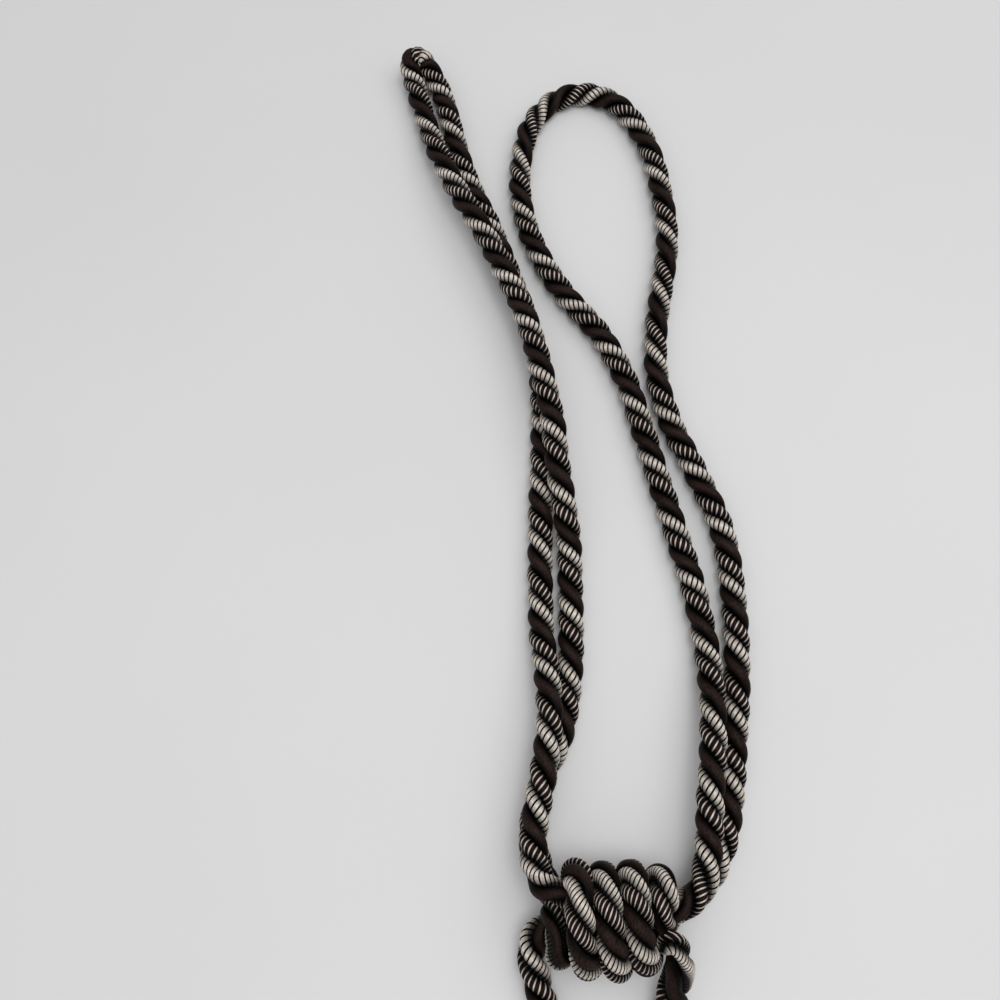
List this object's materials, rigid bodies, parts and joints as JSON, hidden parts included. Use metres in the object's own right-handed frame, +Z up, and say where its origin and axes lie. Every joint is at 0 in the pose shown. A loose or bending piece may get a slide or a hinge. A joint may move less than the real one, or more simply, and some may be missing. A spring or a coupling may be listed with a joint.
{
  "type": "curtain tieback tassel",
  "caption": "Curtain tieback of three-strand twisted rope with two loops, a barrel knot and one tassel, lying flat.",
  "frame": {"origin": "middle of the part's outline, at the surface it lies on", "axes": "+Z up from the surface, +Y from the tassel to the tips of the loops, +X to the right of both"},
  "size_m": [0.1306, 0.6125, 0.0391],
  "materials": {
    "rope_yarn": "satin dark, cream wrapped and striped strands",
    "head_yarn": "satin wound yarn",
    "skirt_yarn": "satin cut yarn"
  },
  "bodies": {
    "root": {"rope": "rope_yarn", "tassel_head": "head_yarn", "tassel_skirt": "skirt_yarn"}
  },
  "joints": []
}
